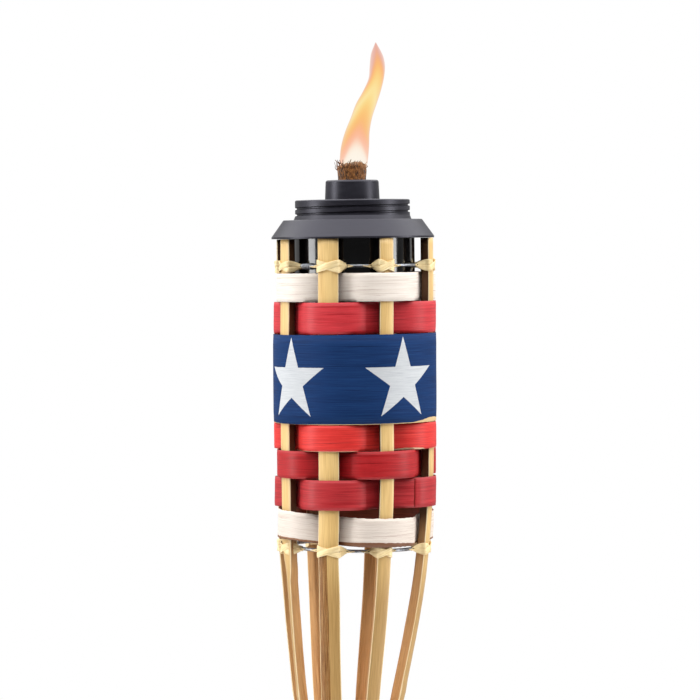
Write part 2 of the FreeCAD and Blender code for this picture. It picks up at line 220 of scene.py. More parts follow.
def ribbon(name, path, normals, width, thickness):
    """A flat strand along a path. width is a function of the share of the way along."""
    loops = []
    for i, (point, tangent, normal) in enumerate(zip(path, tangents(path), normals)):
        face = (normal - normal.dot(tangent) * tangent).normalized()
        side = tangent.cross(face)
        half = width(i / (len(path) - 1)) / 2
        edge, crown = half - thickness * 0.35, thickness / 2
        outline = [
            (-half, 0), (-edge, crown * 0.8), (-edge * 0.4, crown), (edge * 0.4, crown),
            (edge, crown * 0.8), (half, 0), (edge, -crown * 0.8), (edge * 0.4, -crown),
            (-edge * 0.4, -crown), (-edge, -crown * 0.8),
        ]
        loops.append([point + x * side + y * face for x, y in outline])
    return loft(name, loops)


# ---- material helpers ---------------------------------------------------------------------------


def rgb(red, green, blue):
    """Linear colour from 0 to 255 screen values."""
    def linear(value):
        share = value / 255
        return share / 12.92 if share <= 0.04045 else ((share + 0.055) / 1.055) ** 2.4
    return (linear(red), linear(green), linear(blue), 1.0)


class Nodes:
    """Short ways to add nodes to a node tree."""

    def __init__(self, tree):
        self.tree = tree

    def feed(self, socket, value):
        """Links a node's output to a socket, or sets the socket's constant."""
        if isinstance(value, bpy.types.NodeSocket):
            self.tree.links.new(value, socket)
        else:
            socket.default_value = value

    def add(self, kind, inputs=(), **settings):
        node = self.tree.nodes.new(kind)
        for key, value in settings.items():
            setattr(node, key, value)
        for key, value in dict(inputs).items():
            self.feed(node.inputs[key], value)
        return node

    def math(self, operation, *values):
        return self.add("ShaderNodeMath", enumerate(values), operation=operation).outputs[0]

    def share(self, value, start, end):
        """How far a value lies from start to end: 0 at the start and 1 at the end."""
        return self.math("MULTIPLY", self.math("SUBTRACT", value, start), 1 / (end - start))

    def split(self, source="Object"):
        """The three coordinates, each as a value."""
        where = self.add("ShaderNodeTexCoord").outputs[source]
        return self.add("ShaderNodeSeparateXYZ", {"Vector": where}).outputs


class Shader(Nodes):
    """A material with a Principled shader."""

    def __init__(self, name, **sockets):
        self.material = bpy.data.materials.new(name)
        self.material.use_nodes = True
        super().__init__(self.material.node_tree)
        self.principled = self.tree.nodes["Principled BSDF"]
        self.set(**sockets)

    def set(self, **sockets):
        """Links node outputs to the shader's sockets, or sets their constants."""
        for socket, value in sockets.items():
            self.feed(self.principled.inputs[socket.replace("_", " ")], value)

    def noise(self, stretch, source="UV", detail=3.0, roughness=0.55, distortion=0.0):
        """Noise over scaled coordinates. UV and Object are both in metres."""
        where = self.add("ShaderNodeTexCoord").outputs[source]
        vector = self.add("ShaderNodeMapping", {"Vector": where, "Scale": stretch}).outputs[0]
        inputs = {
            "Vector": vector, "Scale": 1.0, "Detail": detail, "Roughness": roughness,
            "Distortion": distortion,
        }
        return self.add("ShaderNodeTexNoise", inputs).outputs[0]

    def stray(self, noise, reach):
        """Noise about its middle, scaled."""
        return self.math("MULTIPLY", self.math("SUBTRACT", noise, 0.5), reach)

    def ramp(self, value, *stops):
        """A colour ramp over (position, colour) stops. A plain number stands for a grey."""
        node = self.add("ShaderNodeValToRGB", {"Fac": value})
        elements = node.color_ramp.elements
        while len(elements) < len(stops):
            elements.new(0.5)
        for element, (position, colour) in zip(elements, stops):
            element.position = position
            element.color = colour if isinstance(colour, tuple) else (colour, colour, colour, 1)
        return node.outputs[0]

    def mix(self, factor, first, second):
        """The first colour where the factor is 0, and the second where it is 1."""
        inputs = {0: factor, 6: first, 7: second}
        return self.add("ShaderNodeMix", inputs, data_type="RGBA").outputs[2]

    def bearing(self):
        """The bearing in degrees, from -180 to 180."""
        x, y, _ = self.split()
        turn = self.math("ARCTAN2", x, self.math("MULTIPLY", y, -1.0))
        return self.math("MULTIPLY", turn, 180 / math.pi)

    def bump(self, height, distance, strength=1.0):
        inputs = {"Height": height, "Distance": distance, "Strength": strength}
        self.set(Normal=self.add("ShaderNodeBump", inputs).outputs[0])


# ---- materials ----------------------------------------------------------------------------------


# Where painted shade darkens the skin below the basket, where a planed slat's facet runs, and where the
# painted shade on the flesh inside the basket fades.
SKIN_SHADE_FALL = RIM - 168 * MM, RIM - 208 * MM
FACET = RIM - 180 * MM, RIM - 424 * MM
FLESH_SHADE_FADE = RIM - 160 * MM, RIM - 190 * MM


def bamboo_skin(name, base, light, dark, lower=None, planed=None):
    """The culm's glossy outer skin: fine streaks along the length, soft blotches and a few specks.

    lower is the darker colour of the skin below the basket: painted shade, as the slats there get less
    light.
    planed gives the colours of a facet cut along the left of the slat below the basket, and its width at
    the top and at the bottom.
    """
    coat, shine = (0.0, 0.3) if planed else (0.18, 0.5)
    s = Shader(name, Coat_Weight=coat, Coat_Roughness=0.3, Specular_IOR_Level=shine)
    streaks = s.noise((2600, 40, 1), detail=4, roughness=0.6)
    blotches = s.noise((90, 14, 1), detail=3)
    specks = s.noise((900, 500, 1), detail=2)
    colour = s.ramp(streaks, (0.3, dark), (0.5, base), (0.72, light))
    colour = s.mix(s.ramp(blotches, (0.35, 0.0), (0.7, 0.6)), colour, light)
    height = s.split()[2]
    if lower:
        # Painted shade: below the basket the skin is mixed towards a darker, streaked colour (held in worn),
        # standing in for the lesser light on the downward-tilting slats.
        fall = s.share(height, *SKIN_SHADE_FALL)
        worn = s.mix(s.ramp(streaks, (0.3, 0.0), (0.72, 1.0)), lower[0], lower[1])
        colour = s.mix(s.ramp(fall, (0.0, 0.0), (1.0, 0.9)), colour, worn)
    if planed:
        top_width, foot_width, ground, stripe = planed
        across = s.split("UV")[0]
        share = s.share(height, *FACET)
        width = s.math("ADD", s.math("MULTIPLY", share, foot_width - top_width), top_width)
        ragged = s.math("ADD", across, s.stray(streaks, 0.8 * MM))
        inside = s.math("MULTIPLY", s.math("LESS_THAN", ragged, width), s.math("GREATER_THAN", share, 0.0))
        fibres = s.noise((4200, 45, 1), detail=5, roughness=0.7)
        facet = s.ramp(fibres, (0.4, stripe), (0.5, ground), (0.85, light))
        colour = s.mix(inside, colour, facet)
    spotted = s.mix(s.ramp(specks, (0.7, 0.0), (0.78, 0.5)), colour, dark)
    s.set(Base_Color=spotted)
    s.set(Roughness=s.ramp(blotches, (0.3, 0.36), (0.7, 0.52)))
    s.bump(streaks, 0.06 * MM, 0.6)
    return s.material


def bamboo_flesh(name, base, light, dark, basket_shade=0.0):
    """The split side of a slat: coarse fibres along the length, and painted shade, a dark brown, above the
    lower hoop where the basket shades the slats.
    """
    s = Shader(name, Roughness=0.7, Specular_IOR_Level=0.3)
    fibres = s.noise((3200, 55, 1), detail=5, roughness=0.65)
    patches = s.noise((160, 22, 1), detail=3)
    colour = s.ramp(fibres, (0.3, dark), (0.5, base), (0.7, light))
    colour = s.mix(s.ramp(patches, (0.35, 0.0), (0.7, 0.7)), colour, light)
    # Painted shade: above the lower hoop the flesh turns dark brown, for the shadow inside the basket.
    basket_shade_mask = s.ramp(s.share(s.split()[2], *FLESH_SHADE_FADE), (0.0, basket_shade), (1.0, 0.0))
    s.set(Base_Color=s.mix(basket_shade_mask, colour, rgb(58, 28, 14)))
    s.bump(fibres, 0.16 * MM, 0.9)
    return s.material


def splint(name, node, base, light, dark, crack, cracks, gloss=0.5, coat=0.08, shine=0.35, bare=()):
    """Dyed splint: fine grain round the ring, long patches, thin cracks, and an undyed inner face, darkened
    to a painted shade for the basket's unlit inside.

    Each entry of bare is an undyed stretch along the lower edge: colour, height, bearing of its middle and
    half of its spread in degrees.
    """
    s = Shader(name, Coat_Weight=coat, Coat_Roughness=0.35, Specular_IOR_Level=shine)
    low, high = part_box(node)
    grain = s.noise((2600, 30, 1), detail=6, roughness=0.7)
    bands = s.noise((420, 12, 1), detail=3)
    colour = s.ramp(grain, (0.34, dark), (0.5, base), (0.66, light))
    colour = s.mix(s.ramp(bands, (0.32, 0.0), (0.72, 0.5)), colour, light)
    lines = s.noise((1500, 26, 1), detail=6, roughness=0.7, distortion=0.3)
    colour = s.mix(s.ramp(lines, (0.59, 0.0), (0.67, cracks)), colour, crack)
    down = s.split("UV")[0]
    for tint, rise, middle, spread in bare:
        apart = s.share(s.bearing(), middle, middle + spread)
        shape = s.math("SUBTRACT", 1.0, s.math("MULTIPLY", apart, apart))
        edge = s.math("MULTIPLY", s.math("MAXIMUM", shape, 0.0), rise)
        above = s.math("SUBTRACT", high.z - low.z, down)
        torn = s.math("ADD", above, s.stray(bands, 3.2 * MM))
        colour = s.mix(s.math("LESS_THAN", torn, edge), colour, tint)
    # Painted shade: the inner face is a dark brown, partly the undyed splint and partly the shadow inside
    # the basket.
    inside = s.math("GREATER_THAN", down, high.z - low.z + 0.5 * MM)
    colour = s.mix(inside, colour, s.ramp(grain, (0.35, rgb(92, 34, 20)), (0.65, rgb(134, 62, 38))))
    s.set(Base_Color=colour)
    s.set(Roughness=s.ramp(bands, (0.3, gloss - 0.06), (0.7, gloss + 0.12)))
    s.bump(grain, 0.09 * MM, 0.8)
    return s


def star_band(name, node):
    """The wide blue band, with white five-pointed stars printed round it."""
    blue, light, dark = rgb(12, 44, 90), rgb(26, 62, 114), rgb(6, 30, 66)
    bare = [(rgb(232, 200, 150), 2.6 * MM, 70, 26)]
    finish = {"gloss": 0.66, "coat": 0.0, "shine": 0.12}
    s = splint(name, node, blue, light, dark, rgb(14, 28, 58), 0.5, bare=bare, **finish)
    low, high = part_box(node)
    pitch, first, reach, sink = 85.5, -49.9, 25 * MM, 0.8 * MM
    turn = s.math("WRAP", s.math("SUBTRACT", s.bearing(), first), pitch / 2, -pitch / 2)
    across = s.math("MULTIPLY", turn, math.radians((high.x - low.x) / 2))
    up = s.math("SUBTRACT", s.split()[2], (low.z + high.z) / 2 - sink)
    squares = [s.math("MULTIPLY", side, side) for side in (across, up)]
    distance = s.math("SQRT", s.math("ADD", *squares))
    fifth = math.radians(72)
    swing = s.math("ABSOLUTE", s.math("WRAP", s.math("ARCTAN2", across, up), fifth / 2, -fifth / 2))
    depth = s.math("MULTIPLY", distance, s.math("COSINE", s.math("SUBTRACT", swing, fifth)))
    grain = s.noise((2600, 60, 1), detail=4, roughness=0.7)
    rough_edge = s.math("ADD", depth, s.stray(grain, 0.5 * MM))
    star = s.math("LESS_THAN", rough_edge, reach * math.cos(fifth))
    paint = s.ramp(grain, (0.3, rgb(176, 180, 186)), (0.5, rgb(198, 201, 204)), (0.72, rgb(214, 216, 218)))
    under = s.principled.inputs["Base Color"].links[0].from_socket
    outside = s.math("LESS_THAN", s.split("UV")[0], high.z - low.z)
    s.set(Base_Color=s.mix(s.math("MULTIPLY", star, outside), under, paint))
    return s.material


def cane_material():
    s = Shader("cane", Roughness=0.42, Coat_Weight=0.3, Coat_Roughness=0.3)
    fibres = s.noise((2600, 90, 1), detail=4)
    patches = s.noise((220, 60, 1), "Object", detail=2)
    colour = s.ramp(fibres, (0.3, rgb(222, 188, 126)), (0.55, rgb(248, 226, 174)), (0.8, rgb(255, 240, 204)))
    s.set(Base_Color=s.mix(s.ramp(patches, (0.4, 0.0), (0.75, 0.5)), colour, rgb(232, 202, 140)))
    s.bump(fibres, 0.08 * MM, 0.8)
    return s.material


def wire_material():
    s = Shader("galvanised_wire", Metallic=1.0)
    spangle = s.noise((700, 700, 700), "Object", detail=3)
    grime = s.noise((120, 120, 120), "Object", detail=4)
    colour = s.ramp(spangle, (0.3, rgb(120, 122, 128)), (0.7, rgb(190, 194, 200)))
    s.set(Base_Color=s.mix(s.ramp(grime, (0.5, 0.0), (0.75, 0.8)), colour, rgb(84, 78, 72)))
    s.set(Roughness=s.ramp(grime, (0.3, 0.3), (0.7, 0.6)))
    s.bump(spangle, 0.03 * MM, 0.5)
    return s.material


def moulded_plastic():
    """Charcoal moulding with a fine eggshell texture and faint scuffs."""
    s = Shader("charcoal_plastic", Specular_IOR_Level=0.6, Specular_Tint=(0.84, 0.83, 0.97, 1.0))
    shell = s.noise((2200, 2200, 2200), "Object", detail=2)
    scuffs = s.noise((60, 60, 260), "Object", detail=5, roughness=0.65)
    s.set(Base_Color=s.ramp(scuffs, (0.35, rgb(20, 19, 25)), (0.7, rgb(31, 30, 38))))
    s.set(Roughness=s.ramp(scuffs, (0.35, 0.36), (0.7, 0.46)))
    s.bump(shell, 0.035 * MM, 0.5)
    return s.material


def black_enamel():
    """Gloss black paint on drawn steel, with a slight orange peel."""
    s = Shader("black_enamel", Coat_Weight=0.6, Coat_Roughness=0.06)
    peel = s.noise((420, 420, 420), "Object", detail=2)
    dust = s.noise((90, 90, 90), "Object", detail=5)
    s.set(Base_Color=s.ramp(dust, (0.45, rgb(10, 10, 11)), (0.8, rgb(22, 22, 24))))
    s.set(Roughness=s.ramp(dust, (0.4, 0.1), (0.75, 0.22)))
    s.bump(peel, 0.05 * MM, 0.35)
    return s.material


def rubber():
    s = Shader("seal_rubber", Roughness=0.75)
    grain = s.noise((1800, 1800, 1800), "Object", detail=3)
    s.set(Base_Color=s.ramp(grain, (0.3, rgb(26, 25, 25)), (0.7, rgb(44, 42, 42))))
    s.bump(grain, 0.05 * MM, 0.6)
    return s.material


def sleeve_steel():
    s = Shader("sooted_steel", Metallic=1.0)
    soot = s.noise((260, 260, 160), "Object", detail=4)
    s.set(Base_Color=s.ramp(soot, (0.4, rgb(150, 146, 140)), (0.65, rgb(58, 50, 44))))
    s.set(Roughness=s.ramp(soot, (0.4, 0.35), (0.65, 0.75)))
    return s.material


def wick_material():
    """Glass-fibre rope, browned by fuel, with painted shade in its pits, and charred at its lit end."""
    s = Shader("wick_rope", Roughness=0.9, Sheen_Weight=0.15)
    fibres = s.noise((2400, 420, 1), detail=4)
    tufts = s.noise((520, 520, 200), "Object", detail=5, roughness=0.75)
    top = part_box("wick")[1].z
    climb = s.share(s.split()[2], top - 5 * MM, top + 4 * MM)
    burnt = s.math("ADD", climb, s.stray(tufts, 1.3))
    colour = s.ramp(fibres, (0.32, rgb(66, 34, 10)), (0.5, rgb(128, 78, 30)), (0.72, rgb(178, 118, 56)))
    # Painted shade: near black where the tufts noise sinks, in the pits of the bump.
    shaded_pits = s.mix(s.ramp(tufts, (0.4, 1.0), (0.5, 0.0)), colour, rgb(28, 15, 6))
    s.set(Base_Color=s.mix(s.ramp(burnt, (0.6, 0.0), (1.0, 0.7)), shaded_pits, rgb(34, 20, 12)))
    s.bump(s.math("ADD", fibres, tufts), 0.25 * MM, 1.0)
    return s.material


def scar_material():
    """The corky ring where a sheath was joined to the culm."""
    s = Shader("sheath_scar", Roughness=0.8)
    grain = s.noise((900, 900, 500), "Object", detail=5, roughness=0.7)
    s.set(Base_Color=s.ramp(grain, (0.3, rgb(92, 64, 36)), (0.7, rgb(152, 116, 72))))
    s.bump(grain, 0.12 * MM, 0.8)
    return s.material


SKIN_COLOURS = rgb(222, 183, 116), rgb(238, 206, 142), rgb(192, 148, 86)
# Painted shade: the darker skin colours below the basket.
SHADED_LOWER_SKIN = rgb(158, 122, 70), rgb(196, 156, 98)
SKIN = bamboo_skin("bamboo_skin", *SKIN_COLOURS, lower=SHADED_LOWER_SKIN)
PLANED_SKIN = bamboo_skin(
    "planed_bamboo_skin", *SKIN_COLOURS, SHADED_LOWER_SKIN, (5.4 * MM, 8.2 * MM, rgb(142, 92, 42), rgb(84, 52, 24))
)
# The slats' flesh carries painted shade inside the basket.
FLESH = bamboo_flesh("bamboo_flesh", rgb(190, 140, 88), rgb(214, 168, 114), rgb(138, 92, 52), basket_shade=0.9)
# The worn corners of a slat: the paler bamboo under the cut skin, made paler still as a painted highlight
# along the edges.
CUT_EDGE_AND_HIGHLIGHT = bamboo_flesh("bamboo_cut_edge_and_highlight", rgb(232, 208, 160), rgb(246, 228, 190), rgb(196, 158, 104))
CULM_SKIN = bamboo_skin("culm_skin", rgb(206, 172, 108), rgb(228, 200, 138), rgb(168, 130, 74))
SCAR = scar_material()
CANE = cane_material()
WIRE = wire_material()
PLASTIC = moulded_plastic()
ENAMEL = black_enamel()
RUBBER = rubber()
SLEEVE = sleeve_steel()
WICK = wick_material()


# ---- slats --------------------------------------------------------------------------------------

CULM_RADIUS = 15 * MM
CULM_WALL = 5.5 * MM


def slat_section(node, height):
    """How a slat faces and lies at a height, read from the frame: see Slat.at."""
    cut = bmesh.new()
    cut.from_mesh(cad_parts[node].data)
    everything = cut.verts[:] + cut.edges[:] + cut.faces[:]
    sliced = bmesh.ops.bisect_plane(cut, geom=everything, plane_co=(0, 0, height), plane_no=(0, 0, 1))
    edges = [e for e in sliced["geom_cut"] if isinstance(e, bmesh.types.BMEdge)]
    ends = np.array([[e.verts[0].co.xy, e.verts[1].co.xy] for e in edges])
    cut.free()
    middles, runs = ends.mean(axis=1), ends[:, 1] - ends[:, 0]
    weights = np.linalg.norm(runs, axis=1)
    centre = weights @ middles / weights.sum()
    arms = middles - centre
    spread = (arms.T * weights) @ arms + (runs.T * weights) @ runs / 12
    out = np.linalg.eigh(spread)[1][:, 0]
    out *= np.sign(out @ centre)
    across = ends.reshape(-1, 2) @ np.array((-out[1], out[0]))
    bearing = math.degrees(math.atan2(out[0], -out[1]))
    crown = (ends.reshape(-1, 2) @ out).max()
    return bearing, np.ptp(across) / 2, crown, (across.max() + across.min()) / 2


class Slat:
    """The lie of one slat, from its foot to its top."""

    STATIONS = 36

    def __init__(self, node):
        self.node = node
        low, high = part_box(node)
        self.low, self.high = low.z, high.z
        margin = 0.05 * MM
        self.heights = np.linspace(self.low + margin, self.high - margin, self.STATIONS)
        rows = np.array([slat_section(node, h) for h in self.heights])
        self.bearings = np.degrees(np.unwrap(np.radians(rows[:, 0])))
        self.lies = rows[:, 1:]

    def at(self, height):
        """The bearing it faces, half its width, its crown's distance from the axis, and how far its middle
        lies to the side of that bearing."""
        bearing = np.interp(height, self.heights, self.bearings)
        return (bearing, *(np.interp(height, self.heights, column) for column in self.lies.T))


LIE = {node: Slat(node) for node in SLATS}


def slat_outline(half_width):
    """A slat's section as (across, out, zone), with worn corners. Zones: 0 skin, 1 flesh, 2 cut edge."""
    lean = math.asin(half_width / CULM_RADIUS)
    outer, inner, worn = CULM_RADIUS, CULM_RADIUS - CULM_WALL, 0.45 * MM

    def point(radius, share):
        return (radius * math.sin(lean * share), radius * math.cos(lean * share) - outer)

    reach = 1 - worn / (outer * lean)
    rows = [(*point(outer, share), 0) for share in np.linspace(-reach, reach, 9)]
    rows[-1] = (*rows[-1][:2], 2)
    side = [(*point(outer - worn * 0.3, 0.992), 2)]
    side += [(*point(outer - depth, 1), 1) for depth in np.linspace(worn, CULM_WALL - worn, 4)]
    rows += side
    rows += [(*point(inner, share), 1) for share in np.linspace(0.9, -0.9, 5)]
    rows += [(-x, y, 1) for x, y, _ in reversed(side)]
    rows[-2] = (*rows[-2][:2], 2)
    rows[-1] = (*rows[-1][:2], 2)
    return rows


def make_slat(number, node):
    """One split slat, with the small waves and the flattened node that a hand-split culm has."""
    lie = LIE[node]
    count = 110
    knuckle = RIM - 263 * MM + 3 * MM * wobble(number, seed=5)
    loops = []
    for i in range(count):
        height = lie.low + (lie.high - lie.low) * i / (count - 1)
        bearing, half, crown, aside = lie.at(height)
        settled = smoothstep(height, lie.low, lie.low + 25 * MM)
        half *= 1 + 0.02 * settled * wobble(height * 38, number, seed=1)
        swell = math.exp(-(((height - knuckle) / (2.6 * MM)) ** 2))
        loop = []
        for across, out, _ in slat_outline(half):
            deep = out < -1.2 * MM
            thin = 0.25 * MM * wobble(height * 30, number, seed=2) * settled if deep else 0.0
            crest = 0.35 * MM * swell if not deep else 0.0
            ripple = 0.05 * MM * wobble(height * 160, across * 400, seed=3 + number) * settled
            radius = crown + out + thin + crest + ripple
            point = polar(bearing, radius, height)
            loop.append(point + polar(bearing + 90, aside + across, 0))
        loops.append(loop)
    zones = [zone for _, _, zone in slat_outline(lie.at(lie.high)[1])]
    piece = loft(f"split_{node}", loops, zones=zones)
    settle(piece)
    skin = PLANED_SKIN if node == "slat_2" else SKIN
    return add_piece(piece, "torch", [skin, FLESH, CUT_EDGE_AND_HIGHLIGHT], [node])


for number, node in enumerate(SLATS, 1):
    make_slat(number, node)


# ---- woven splints ------------------------------------------------------------------------------


class Strip:
    """One woven ring: its node, where its outer end lies, how far the ends overlap, and its shape.

    sway gives how much higher than level it sits, as (bearing, millimetres) pairs from -180 to 180.
    """

    def __init__(self, node, seam, overlap=20, thickness=0.8, sway=((0, 0),), ragged=0.12, pinch=0.0):
        self.node = node
        self.seam = seam
        self.overlap = overlap
        self.thickness = thickness * MM
        self.sway = sway
        self.ragged = ragged * MM
        self.pinch = pinch * MM

    def rise(self, bearing):
        turn = (bearing + 180) % 360 - 180
        bearings, rises = zip(*self.sway)
        return float(np.interp(turn, bearings, rises, period=360)) * MM

    def radius(self):
        """A function of the bearing: the distance of the outer face from the axis."""
        low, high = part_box(self.node)
        tree = surface_tree(self.node)
        degrees = np.arange(0, 361, 2)
        radii = [skin_radius(tree, d, (low.z + high.z) / 2) for d in degrees]
        return lambda bearing: float(np.interp(bearing % 360, degrees, radii))


def slack_between_slats(bearing, height):
    """0 at a slat and 1 halfway to the next one."""
    slats = sorted(lie.at(height)[0] % 360 for lie in LIE.values())
    ring = [slats[-1] - 360, *slats, slats[0] + 360]
    turn = bearing % 360
    for a, b in zip(ring, ring[1:]):
        if a <= turn <= b:
            return (1 - math.cos(2 * math.pi * (turn - a) / (b - a))) / 2
    return 0.0


def make_strip(strip, number, material):
    """A splint ring whose outer end lies over its inner end."""
    low, high = (corner.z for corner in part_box(strip.node))
    outer = strip.radius()
    step = 1.5
    count = int((360 + strip.overlap) / step) + 1
    loops = []
    for i in range(count):
        travel = i * step
        bearing = strip.seam + travel
        lift = strip.thickness * 1.06 * (1 - smoothstep(travel, strip.overlap, strip.overlap + 9))
        radius = outer(bearing) + lift
        if strip.pinch:
            radius -= strip.pinch * slack_between_slats(bearing, (low + high) / 2)
        tilt = strip.rise(bearing)
        edge = 3.0 * strip.thickness / MM
        drop = strip.ragged * wobble(bearing / edge, number, seed=21)
        rise = strip.ragged * wobble(bearing / edge, number, seed=22)
        end = min(travel, 360 + strip.overlap - travel) / 360
        fray = 0.25 * MM * wobble(bearing * 3, number, seed=23) * math.exp(-end * 120)
        feather = 0.6 * strip.thickness * (1 - smoothstep(travel, 0, 5))
        bottom, top = low + tilt + drop + fray, high + tilt + rise - fray
        face, back = [], []
        rows = 9
        for j in range(rows):
            share = j / (rows - 1)
            height = top + (bottom - top) * share
            cup = 0.12 * MM * wobble(bearing / 14, share * 2.2 + number * 3, seed=24)
            worn = 0.22 * strip.thickness if j in (0, rows - 1) else 0.0
            face.append(polar(bearing, radius + cup - worn - feather, height))
            back.append(polar(bearing, radius + cup - strip.thickness + worn, height))
        loops.append(face + back[::-1])
    piece = loft(f"woven_{strip.node}", loops)
    settle(piece)
    return add_piece(piece, "torch", [material], [strip.node])


WHITE_CRACK, RED_CRACK = rgb(158, 112, 98), rgb(104, 16, 22)
UNDYED, PALE_SPLINTER = rgb(150, 104, 72), rgb(232, 196, 160)
ALONG_FOOT = [(UNDYED, 1.2 * MM, 0, 400), (rgb(124, 82, 58), 2.4 * MM, 12, 52)]


def white_splint(number, base, light, dark, bare=()):
    name, node = f"white_splint_{number}", f"strip_{number}_white"
    return splint(name, node, base, light, dark, WHITE_CRACK, 0.75, bare=bare).material


def red_splint(number, base, light, dark, bare=()):
    name, node = f"red_splint_{number}", f"strip_{number}_red"
    return splint(name, node, base, light, dark, RED_CRACK, 0.6, gloss=0.48, bare=bare).material


ROW_MATERIALS = [
    white_splint(1, rgb(230, 218, 206), rgb(242, 234, 226), rgb(202, 186, 172)),
    red_splint(2, rgb(190, 34, 42), rgb(220, 64, 72), rgb(146, 14, 26)),
    star_band("star_band_3", "strip_3_blue_band"),
    red_splint(4, rgb(212, 36, 32), rgb(232, 66, 58), rgb(166, 14, 20), [(PALE_SPLINTER, 1.4 * MM, 45, 15)]),
    red_splint(5, rgb(162, 8, 16), rgb(194, 32, 38), rgb(118, 2, 8)),
    red_splint(6, rgb(166, 24, 32), rgb(198, 54, 58), rgb(124, 8, 18)),
    white_splint(
        7, rgb(220, 206, 194), rgb(232, 222, 212), rgb(192, 176, 162), ALONG_FOOT
    ),
]
SWAY_6 = ((-120, -1.0), (-90, 0), (90, 0), (120, -1.8), (180, -2.2))
SWAY_7 = (
    (-112, 0.6), (-78, 2.6), (-50, 1.8), (-28, -0.3), (0, -1.3), (25, -2.0), (58, -2.4), (85, -1.6),
    (112, 0.0), (180, 0.2),
)
STRIPS = [
    Strip("strip_1_white", seam=150),
    Strip("strip_2_red", seam=195),
    Strip("strip_3_blue_band", seam=215, thickness=1.0, pinch=0.6),
    Strip("strip_4_red", seam=142),
    Strip("strip_5_red", seam=215),
    Strip("strip_6_red", seam=49.5, overlap=24, sway=SWAY_6),
    Strip("strip_7_white", seam=185, sway=SWAY_7, ragged=0.4),
]
for number, (strip, material) in enumerate(zip(STRIPS, ROW_MATERIALS), 1):
    make_strip(strip, number, material)


# ---- lashings -----------------------------------------------------------------------------------


def lashing(name, lie, hoop, height, rng):
    """Two flat strands of cane that cross on a slat's face and wind on to the hoop beside it."""
    bearing, half, crown, _ = lie.at(height)
    bulge = CULM_RADIUS
    wide = rng.uniform(3.3, 4.0) * MM
    strands = []
    for strand, flip in enumerate((1, -1)):
        over = (0.35 + 0.55 * strand) * MM

        def spot(across, out, up):
            return polar(bearing, out, height + flip * up) + polar(bearing + 90, across, 0)

        def on_face(across, up, gap):
            sag = bulge - math.sqrt(bulge**2 - min(abs(across), half) ** 2)
            return spot(across, crown - sag + gap, up)

        def on_hoop(across, up=0.0):
            return spot(across, math.sqrt(hoop**2 - across**2) + 1.2 * MM, up)

        reach = [half + rng.uniform(*(4.0, 6.0) if strand == side else (5.5, 9.0)) * MM for side in range(2)]
        high = rng.uniform(1.5, 1.9) * MM
        points = [
            on_hoop(-reach[0]),
            on_hoop(-half - 2.4 * MM, 0.7 * MM),
            spot(-half - 0.55 * MM, crown - 3.4 * MM, high * 0.92),
            on_face(-half + 0.2 * MM, high, 0.35 * MM + over / 2),
            on_face(0, 0, over),
            on_face(half - 0.2 * MM, -high, 0.35 * MM + over / 2),
            spot(half + 0.55 * MM, crown - 3.4 * MM, -high * 0.92),
            on_hoop(half + 2.4 * MM, -0.7 * MM),
            on_hoop(reach[1]),
        ]
        path = smooth_path(points)
        core = spot(0, crown - 3.2 * MM, 0)
        normals = [Vector((p.x - core.x, p.y - core.y, 0)).normalized() for p in path]
        strands.append(
            ribbon(
                f"{name}_{strand}",
                path,
                normals,
                lambda share: wide * (0.25 + 0.75 * smoothstep(min(share, 1 - share), 0.02, 0.3)),
                0.55 * MM,
            )
        )
    behind = polar(bearing, hoop - 1.35 * MM, height)
    path = smooth_path([behind + polar(bearing + 90, x * half, 0) for x in (-1.3, -0.6, 0.6, 1.3)])
    inwards = [-polar(bearing, 1, 0)] * len(path)
    strands.append(ribbon(f"{name}_back", path, inwards, lambda share: wide * 0.9, 0.45 * MM))
    return strands


def make_lashings(node, hoop_node, seed, tilt=0.0):
    rng = random.Random(seed)
    low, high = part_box(hoop_node)
    height = (low.z + high.z) / 2
    hoop = (high.x - low.x) / 2 - (high.z - low.z) / 2
    strands = []
    for slat in SLATS:
        strands += lashing(f"{node}_{slat}", LIE[slat], hoop, height, rng)
    piece = join(f"cane_{node}", strands)
    settle(piece, tilt)
    return add_piece(piece, "torch", [CANE], [node])


make_lashings("top_lashings", "top_hoop", seed=3)
make_lashings("bottom_lashings", "bottom_hoop", seed=8, tilt=HOOP_TILT)


# ---- pole ---------------------------------------------------------------------------------------


class Culm:
    """The pole's outer surface: its taper, and the ridge at each node."""

    def __init__(self):
        self.low, self.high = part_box("pole")
        tree = surface_tree("pole")
        self.heights = np.arange(self.low.z + 44 * MM, self.high.z - 0.1 * MM, 1 * MM)
        radii = np.array([skin_radius(tree, 90, h) for h in self.heights])
        self.taper = np.linspace(radii[0], radii[-1], len(radii))
        self.ridge = radii - self.taper
        inner = range(4, len(radii) - 4)
        peaks = [i for i in inner if self.ridge[i] == self.ridge[i - 4 : i + 5].max() > 0.5 * MM]
        self.nodes = [float(self.heights[i]) for i in peaks]
        front = polar(0, radii[0] - 0.3 * MM, self.low.z - 1 * MM)
        self.point = tree.ray_cast(front, Vector((0, 0, 1)))[0].z - self.low.z

    def straight(self, height):
        return float(np.interp(height, self.heights, self.taper))

    def radius(self, bearing, height):
        ridge = float(np.interp(height, self.heights, self.ridge))
        scar = sum(math.exp(-(((height - node + 4.4 * MM) / (0.6 * MM)) ** 2)) for node in self.nodes)
        x, y = math.cos(math.radians(bearing)), math.sin(math.radians(bearing))
        uneven = noise.noise(Vector((x * 0.8, y * 0.8, height * 9))) * 0.35 * MM
        settled = smoothstep(self.high.z - height, 0, 30 * MM)
        return self.straight(height) + ridge - 0.45 * MM * scar + uneven * settled

    def cut(self, bearing):
        """The height of the slanted cut at the foot."""
        return self.low.z + self.point * (1 + math.cos(math.radians(bearing))) / 2


